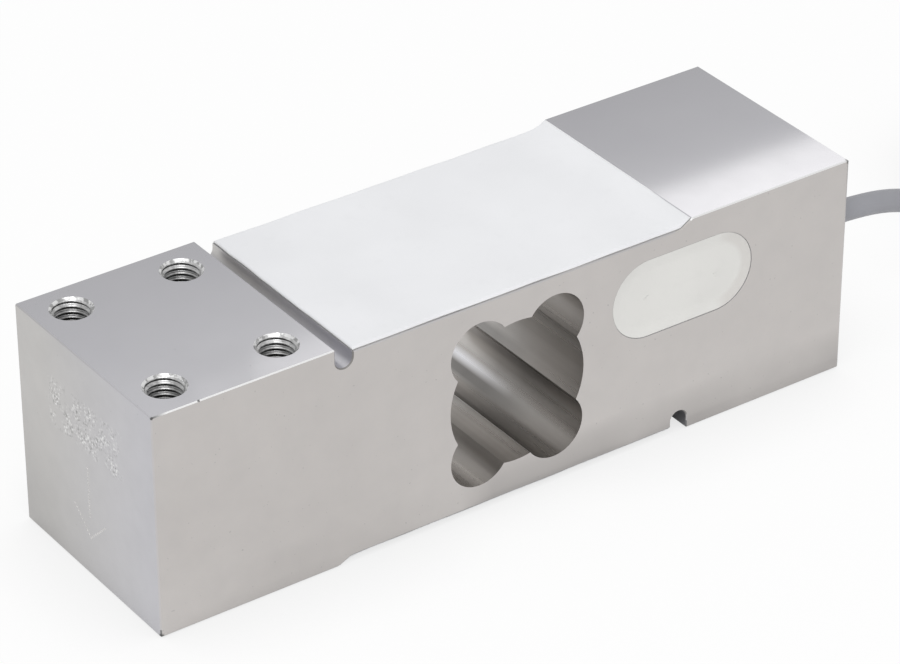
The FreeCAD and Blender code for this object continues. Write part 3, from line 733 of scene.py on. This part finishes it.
def add_cable():
    points = list(CABLE_ROUTE) + coil_points()
    curve = bpy.data.curves.new("cable", "CURVE")
    curve.dimensions = "3D"
    curve.resolution_u = 6
    curve.bevel_depth = CABLE_DIAMETER / 2 * MM
    curve.bevel_resolution = 6
    curve.use_fill_caps = True
    spline = curve.splines.new("NURBS")
    spline.points.add(len(points) - 1)
    for place, point in zip(spline.points, points):
        place.co = (*(c * MM for c in point), 1.0)
    spline.order_u = 3
    spline.use_endpoint_u = True
    cable = bpy.data.objects.new("cable", curve)
    bpy.context.scene.collection.objects.link(cable)
    cable.data.materials.append(simple("jacket_grey", (0.305, 0.307, 0.332), 0.42, grain=1800.0, spread=0.05))
    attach(cable, "root")
    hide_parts("cable_lead", "cable_coil")


# Threads


def thread_radius(phase):
    """Radius of the thread's surface: a flat crest at phase 0.5, slanted flanks and a rounded root."""
    away = abs(phase % 1.0 - 0.5) * 2
    share = smoothstep((away - THREAD_CREST_SHARE) / THREAD_FLANK_SHARE)
    return THREAD_CREST_RADIUS + (HOLE_RADIUS - THREAD_BACK - THREAD_CREST_RADIUS) * share


def thread_column(share):
    """Radii and depths down the wall and back behind it, at one share of a turn."""
    start = HOLE_MOUTH_RADIUS - HOLE_RADIUS
    back = HOLE_RADIUS + THREAD_BACK
    rows = int((THREAD_DEPTH - start + THREAD_PITCH) / THREAD_PITCH * THREAD_ROWS) + 2
    column = [(back, start - THREAD_START_GAP)]
    for j in range(rows):
        depth = start + THREAD_PITCH * (j / THREAD_ROWS - share)
        depth = min(max(depth, start), THREAD_DEPTH)
        radius = max(thread_radius(depth / THREAD_PITCH + share), HOLE_MOUTH_RADIUS - depth)
        column.append((min(radius, HOLE_RADIUS - THREAD_BACK / 2), depth))
    return column + [(back, THREAD_DEPTH)]


def shade_flanks(piece, x, y, side):
    """Gives the thread's lower flanks the darker material, which paints their shade."""
    low, high = THREAD_SHADE
    for face in piece.data.polygons:
        middle = face.center / MM - Vector((x, y, 0))
        depth = HEIGHT - middle.z if side > 0 else middle.z
        turn = math.atan2(middle.y, middle.x * side) / (2 * math.pi) % 1.0
        phase = (depth / THREAD_PITCH + turn) % 1.0
        on_cone = math.hypot(middle.x, middle.y) > thread_radius(phase) + CONE_MARGIN
        face.material_index = int((phase > low or phase < high - 1) and not on_cone)


def thread_mesh(name, x, y, side, materials):
    """The threaded wall of one tapped hole, under the cone of its mouth; side is 1 for the top."""
    verts, faces = [], []
    columns = [thread_column(i / THREAD_COLUMNS) for i in range(THREAD_COLUMNS + 1)]
    for i, column in enumerate(columns):
        for radius, depth in column:
            px, py = circle((0.0, 0.0), radius, 2 * math.pi * i / THREAD_COLUMNS)
            verts.append((x + px * side, y + py, HEIGHT - depth if side > 0 else depth))
    count = len(columns[0])
    for i in range(THREAD_COLUMNS):
        for j in range(count):
            k = (j + 1) % count
            faces.append((i * count + j, (i + 1) * count + j, (i + 1) * count + k, i * count + k))
    piece = mesh_piece(name, verts, faces, materials, weld=True)
    shade_flanks(piece, x, y, side)


def add_threads():
    pale = thread_metal("thread_metal", 0.42, 0.80, 0.34)
    # A darker copy of the thread metal, painted shade for the lower flanks
    dark = thread_metal("thread_shade", 0.09, 0.18, 0.45)
    for side, word in ((1, "top"), (-1, "under")):
        for i in range(4):
            x = -side * (HALF_LENGTH - HOLE_FROM_END - (i % 2) * HOLE_SPACING_X)
            y = (i // 2 - 0.5) * HOLE_SPACING_Y
            thread_mesh(f"thread_{word}_{i + 1}", x, y, side, (pale, dark))


# Silicone


def recess_depth(side):
    return TOP_RECESS if side > 0 else BOTTOM_RECESS


def cover_floor(x, side):
    """Height of the recess floor and ramp at x, for the top and, mirrored, the underside."""
    return recess_depth(side) * (line_share(x, RAMP_TOP - RAMP_RUN, RAMP_TOP) - 1)


def cover_surface(x, side):
    """Height of the silicone at x, drawn up to the top of the ramp."""
    level = COVER_THICKNESS - recess_depth(side)
    return level * (1 - line_share(x, RAMP_TOP - MENISCUS_RUN, RAMP_TOP - COVER_LIP) ** 2)


def place_cover(x, y, height, side):
    """Turns a place in the top recess into the same place on the side that is meant."""
    if side > 0:
        return (x, y, HEIGHT + min(height, 0.0))
    return (-x, y, -min(height, 0.0))


def cover_points(x, y, side):
    """Upper and lower point of the silicone at one place, drawn in unevenly at its sides."""
    inset = COVER_SIDE_INSET + wobble(x, side * 7.0, math.copysign(3.0, y), 9.0, 0.18)
    py = y - math.copysign(inset * abs(y) / COVER_HALF_WIDTH, y)
    start_inset = COVER_START_INSET + abs(wobble(y, 5.0, side * 3.0, 11.0, 0.3))
    along = (RAMP_TOP - x) / (RAMP_TOP - COVER_START)
    px = x + start_inset * along**6 - FREE_EDGE * smoothstep((-y - 9) / 9) * (1 - along) ** 12
    distance = min(COVER_HALF_WIDTH - abs(y), x - COVER_START)
    floor = cover_floor(px, side)
    thick = max(cover_surface(px, side) - floor, 0.0)
    wall = min(COVER_WALL, thick)
    thick = COVER_LIFT + wall + (thick - wall) * quarter_round(distance, COVER_ROUND)
    swell = wobble(px, py, side * 9.0, 14.0, 0.05) * quarter_round(distance, 4.0)
    height = floor + thick + swell * smoothstep((RAMP_TOP - px) / 6)
    return place_cover(px, py, height, side), place_cover(px, py, floor - COVER_SINK, side)


def spread_points(low, high, inner_step):
    """Positions from low to high, close together near both ends."""
    points = [low + o for o in COVER_EDGE_STEPS] + [high - o for o in COVER_EDGE_STEPS]
    start, end = low + COVER_EDGE_STEPS[-1], high - COVER_EDGE_STEPS[-1]
    count = max(int((end - start) / inner_step), 1)
    points += [start + (end - start) * i / count for i in range(1, count)]
    return sorted(points)


def slab_faces(rows, columns):
    """Faces between an upper and a lower grid of points, and those of the rim between them."""
    base = rows * columns
    flat = []
    for i in range(rows - 1):
        for j in range(columns - 1):
            a = i * columns + j
            flat.append((a, a + columns, a + columns + 1, a + 1))
            flat.append((base + a, base + a + 1, base + a + columns + 1, base + a + columns))
    rim = [i * columns for i in range(rows)]
    rim += [(rows - 1) * columns + j for j in range(1, columns)]
    rim += [i * columns + columns - 1 for i in range(rows - 2, -1, -1)]
    rim += list(range(columns - 2, 0, -1))
    return flat, [(a, b, base + b, base + a) for a, b in zip(rim, rim[1:] + rim[:1])]


def cover_mesh(name, side, node, materials):
    """A soft-edged slab of silicone in one recess, with a line of shade round its foot."""
    xs = spread_points(COVER_START, RAMP_TOP, COVER_STEP_X)
    ys = spread_points(-COVER_HALF_WIDTH, COVER_HALF_WIDTH, COVER_STEP_Y)
    top, low = zip(*(cover_points(x, y, side) for x in xs for y in ys))
    flat, rim = slab_faces(len(xs), len(ys))
    piece = mesh_piece(name, top + low, flat + rim, materials)
    for face in piece.data.polygons[len(flat):]:
        face.material_index = 1
    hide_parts(node)


def slot_outline(middle, inset):
    """Points round the pocket's outline, a slot with round ends, at equal steps."""
    radius = POCKET_HEIGHT / 2 - inset
    straight = POCKET_LENGTH - POCKET_HEIGHT
    half_way = straight + math.pi * radius
    points = []
    for k in range(POCKET_POINTS):
        along = 2 * half_way * k / POCKET_POINTS
        side = 1 if along < half_way else -1
        along %= half_way
        x, z = along - straight / 2, -radius
        if along >= straight:
            x, z = circle((straight / 2, 0.0), radius, (along - straight) / radius - math.pi / 2)
        points.append((middle[0] + side * x, middle[1] + side * z))
    return points


def pocket_middle():
    low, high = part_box("bridge_board")
    return (low[0] + high[0]) / 2 / MM, (low[2] + high[2]) / 2 / MM


def pocket_surface(x, z, inset):
    """The place across the beam of the pocket's silicone, dished inside its rim."""
    sink = POCKET_RIM_DROP + POCKET_DISH * smoothstep(inset / POCKET_RIM_WIDTH) ** 0.7
    return -HALF_WIDTH + sink + wobble(x, 2.0, z, 9.0, 0.10) * smoothstep(inset / 2)


def pocket_mesh(materials):
    """Silicone poured into the side pocket, drawn up a little round its rim."""
    middle = pocket_middle()
    floor_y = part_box("pocket_potting")[1][1] / MM
    wall = slot_outline(middle, POCKET_WALL_GAP)
    verts = [(x, y, z) for y in (floor_y, -HALF_WIDTH + POCKET_RIM_DROP) for x, z in wall]
    for inset in POCKET_INSETS:
        verts += [(x, pocket_surface(x, z, inset), z) for x, z in slot_outline(middle, inset)]
    faces = stacked_rings(0, len(POCKET_INSETS) + 2, POCKET_POINTS)
    piece = mesh_piece("silicone_pocket", verts, faces, materials)
    # The narrow band by the wall takes the dark material, a painted line of shade round the rim
    for face in piece.data.polygons[1 + POCKET_POINTS:1 + 2 * POCKET_POINTS]:
        face.material_index = 1
    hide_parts("pocket_potting")


def add_silicone():
    x, z = pocket_middle()
    end_middle = (x + (POCKET_LENGTH - POCKET_HEIGHT) / 2, -HALF_WIDTH + 0.4, z)
    white = silicone("silicone_white", (0.785, 0.792, 0.812))
    warm = silicone("silicone_pocket", (0.74, 0.735, 0.71), (end_middle, MENISCUS_SHADE_RADIUS))
    # A dark material for the rims, a painted line of shade round the foot of each silicone piece
    line = simple("silicone_foot_shade", (0.46, 0.455, 0.44), 0.6, grain=1200.0)
    cover_mesh("silicone_top", 1, "top_potting", (white, line))
    cover_mesh("silicone_bottom", -1, "bottom_potting", (white, line))
    pocket_mesh((warm, line))


# Load arrow on the left end


def arrow_places():
    """Centres of the punched dots, across and up the end face: a shaft and an open head."""
    places = []
    for k in range(ARROW_SHAFT_DOTS):
        share = k / (ARROW_SHAFT_DOTS - 1)
        places.append((0.0, ARROW_TOP + (ARROW_SHAFT_END - ARROW_TOP) * share))
    for side in (-1, 1):
        for k in range(ARROW_HEAD_DOTS):
            share = k / ARROW_HEAD_DOTS
            across = side * ARROW_HALF_WIDTH * (1 - share)
            places.append((across, ARROW_HEAD + (ARROW_TIP - ARROW_HEAD) * share))
    return places + [(0.0, ARROW_TIP)]


def add_arrow():
    """Shallow craters, each with a raised lip, punched into the left end."""
    verts, faces = [], []
    for y, z in arrow_places():
        y += wobble(y, z, 1.0, 1.3, 0.12)
        z += wobble(z, y, 4.0, 1.3, 0.12)
        faces += stacked_rings(len(verts), len(DOT_PROFILE), DOT_SIDES)
        for radius, rise in DOT_PROFILE:
            for k in range(DOT_SIDES):
                verts.append((-HALF_LENGTH - rise, *circle((y, z), radius, 2 * math.pi * k / DOT_SIDES)))
    metal = simple("punched_metal", (0.66, 0.65, 0.64), 0.26, metallic=1.0, grain=3000.0)
    piece = mesh_piece("load_arrow", verts, faces, (metal,))


# Solids that stay as they are


def dress(node, material):
    """Gives a solid a material of its own, on the object."""
    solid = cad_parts[node]
    if len(solid.data.materials) == 0:
        solid.data.materials.append(material)
    for slot in solid.material_slots:
        slot.link = "OBJECT"
        slot.material = material


def dress_solids():
    dress("body_block", beam_metal())
    for node, look in PLAIN.items():
        dress(node, simple(*look))
    made = {key: simple(*look) for key, look in GROUPS.items()}
    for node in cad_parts:
        for key, material in made.items():
            if key in node:
                dress(node, material)


# Floor, light and backdrop


def add_floor():
    mesh = bpy.data.meshes.new("floor")
    corners = ((-1, -1), (1, -1), (1, 1), (-1, 1))
    verts = [(x * FLOOR_REACH, y * FLOOR_REACH, FLOOR_LEVEL) for x, y in corners]
    mesh.from_pydata(verts, [], [(0, 1, 2, 3)])
    floor = bpy.data.objects.new("floor", mesh)
    bpy.context.scene.collection.objects.link(floor)
    floor.data.materials.append(floor_white())


def new_light(name, shape, size, power):
    data = bpy.data.lights.new(name, "AREA")
    data.shape = shape
    data.size = size
    data.energy = power
    light = bpy.data.objects.new(name, data)
    light.visible_camera = False
    bpy.context.scene.collection.objects.link(light)
    return light


def add_round_light(name, place, target, size, power):
    light = new_light(name, "DISK", size, power)
    light.location = place
    light.rotation_euler = (Vector(target) - Vector(place)).to_track_quat("-Z", "Y").to_euler()


def add_strip_light(name, first_x, last_x, line, radiance):
    """A long low panel that the beam's polished top mirrors along its near edge.

    Its lower edge lies where the camera's mirror image sees y = line on the top face.
    """
    mirrored = Vector(CAMERA_PLACE)
    mirrored.z = 2 * HEIGHT * MM - mirrored.z
    ends = []
    for x in (first_x, last_x):
        seen = Vector((x, line, HEIGHT)) * MM
        ends.append(seen + (seen - mirrored).normalized() * STRIP_DISTANCE)
    middle = (ends[0] + ends[1]) / 2
    along = (ends[1] - ends[0]).normalized()
    facing = (middle - mirrored).normalized()
    facing = (facing - along * facing.dot(along)).normalized()
    upward = along.cross(facing)
    upward = upward if upward.z > 0 else -upward
    length = (ends[1] - ends[0]).length
    light = new_light(name, "RECTANGLE", length, radiance * math.pi * length * STRIP_HEIGHT)
    light.data.size_y = STRIP_HEIGHT
    light.data.color = STRIP_COLOUR
    axes = (along, facing.cross(along), facing, middle + upward * STRIP_HEIGHT / 2)
    light.matrix_world = Matrix((*zip(*axes), (0, 0, 0, 1)))


def add_world():
    """A white sky, full to the camera and a little dimmer towards its top to all else."""
    world = bpy.data.worlds.new("studio")
    bpy.context.scene.world = world
    world.use_nodes = True
    s = Nodes(world.node_tree)
    up = s.parts(s.add("ShaderNodeTexCoord").outputs["Generated"])[2]
    to_camera = s.add("ShaderNodeLightPath").outputs["Is Camera Ray"]
    level = s.add("ShaderNodeMix", {0: to_camera, 2: s.span(up, 0.10, 0.90, 0.97, 0.94), 3: 1.0}).outputs[0]
    background = s.add("ShaderNodeBackground", {"Strength": level}).outputs[0]
    s.add("ShaderNodeOutputWorld", {"Surface": background})


def add_lights():
    add_world()
    add_round_light("key", (-0.3, -0.5, 0.8), (0.0, 0.0, 0.02), 0.5, 2.8)
    add_strip_light("strip", 10.0, 100.0, -13.0, 0.67)
    add_strip_light("strip_dim", -72.0, 0.0, -20.0, 0.14)
    add_strip_light("strip_faint", -58.0, 0.0, -18.0, 0.18)


add_camera()
add_cable()
add_threads()
add_silicone()
add_arrow()
dress_solids()
add_floor()
add_lights()
bpy.context.scene.view_settings.view_transform = "Standard"
